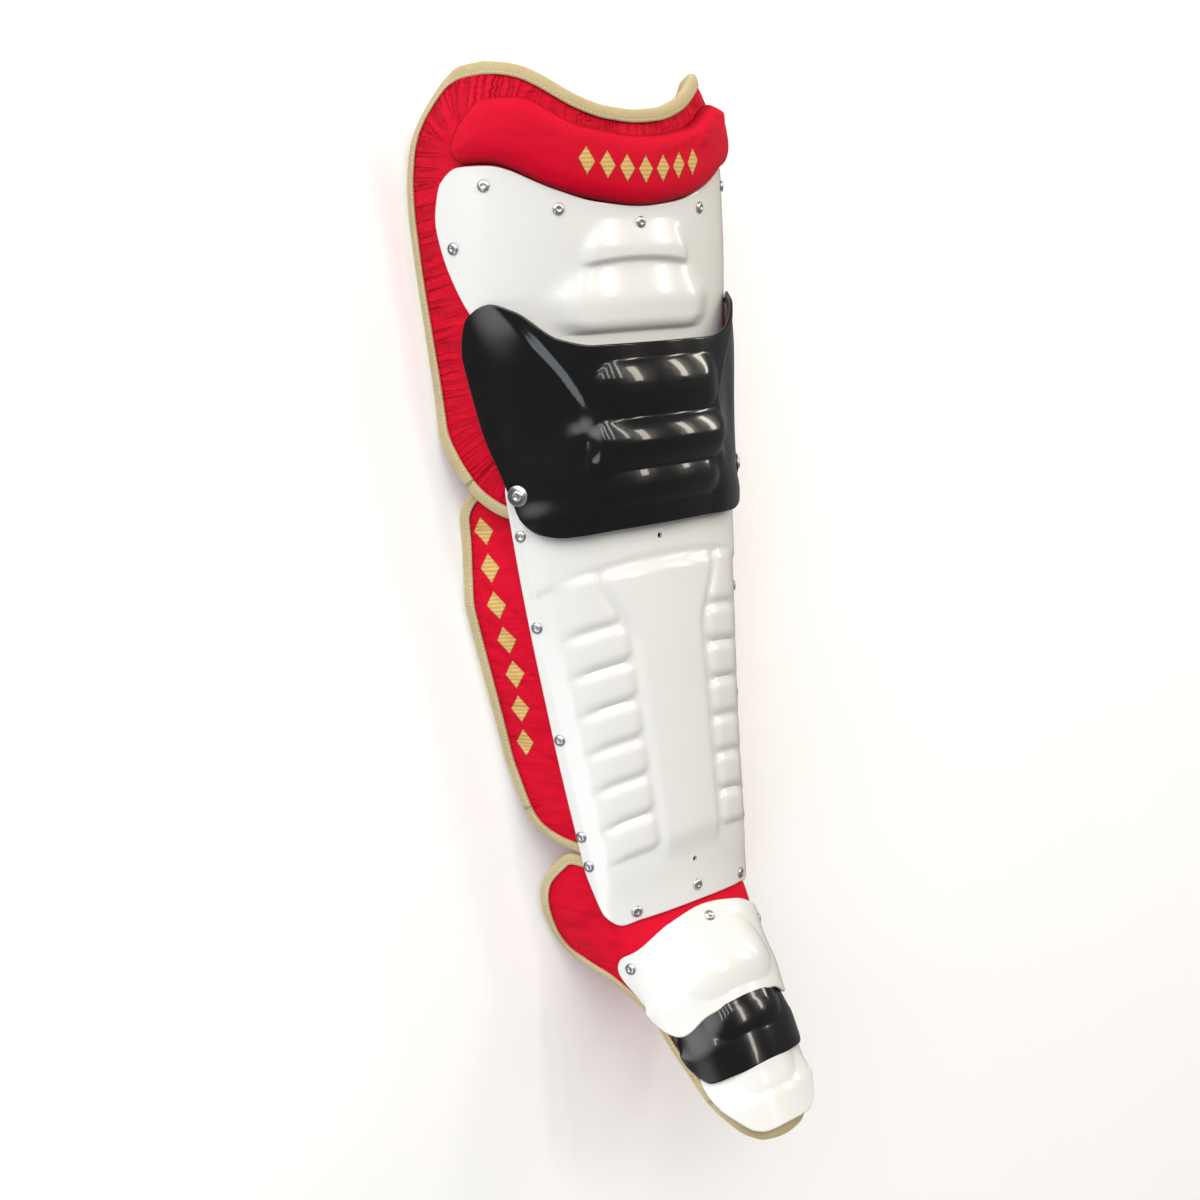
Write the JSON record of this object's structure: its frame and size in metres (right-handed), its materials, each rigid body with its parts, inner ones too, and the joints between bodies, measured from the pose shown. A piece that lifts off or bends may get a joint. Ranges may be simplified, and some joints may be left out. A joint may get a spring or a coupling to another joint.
{
  "type": "goalkeeper leg pad",
  "caption": "Goalkeeper leg pad: ribbed shin, thigh and foot plates riveted over padded fabric liners with taped edges, and a knee cap pivoting on two screws.",
  "frame": {"origin": "on the floor under the middle of the pad's bounding box", "axes": "+X across the leg, +Y up the leg from toe to thigh, +Z away from the leg, the pad lying on its open back"},
  "size_m": [0.2998, 0.9154, 0.1872],
  "materials": {
    "red_fabric": "woven nylon with a soft sheen",
    "khaki_tape": "ribbed tape",
    "white_plastic": "glossy moulded",
    "black_plastic": "glossy moulded",
    "steel": "plated"
  },
  "bodies": {
    "pad": {"foot_liner": "red_fabric", "foot_binding": "khaki_tape", "toe_plate": "white_plastic", "toe_band": "black_plastic", "instep_plate": "white_plastic", "calf_liner": "red_fabric", "calf_binding": "khaki_tape", "shin_shell": "white_plastic", "thigh_liner": "red_fabric", "thigh_binding": "khaki_tape", "thigh_shell": "white_plastic", "thigh_bolster": "red_fabric", "instep_rivet_middle": "steel", "instep_rivet_side_left": "steel", "instep_rivet_side_right": "steel", "shin_rivet_knee_left": "steel", "shin_rivet_knee_right": "steel", "shin_rivet_upper_left": "steel", "shin_rivet_upper_right": "steel", "shin_rivet_mid_left": "steel", "shin_rivet_mid_right": "steel", "shin_rivet_lower_left": "steel", "shin_rivet_lower_right": "steel", "shin_rivet_ankle_left": "steel", "shin_rivet_ankle_right": "steel", "shin_rivet_corner_left": "steel", "shin_rivet_corner_right": "steel", "shin_rivet_middle": "steel", "thigh_rivet_middle": "steel", "thigh_rivet_inner_left": "steel", "thigh_rivet_inner_right": "steel", "thigh_rivet_outer_left": "steel", "thigh_rivet_outer_right": "steel", "thigh_rivet_side_left": "steel", "thigh_rivet_side_right": "steel"},
    "knee_cap": {"knee_cap": "black_plastic", "pivot_screw_left": "steel", "pivot_screw_right": "steel"}
  },
  "joints": [
    {"name": "knee_cap_pivot", "type": "hinge", "parent": "pad", "child": "knee_cap", "pos_m": [0, 0.1175, 0.0698], "axis": [1, 0, 0], "range_deg": [0, 10]}
  ]
}
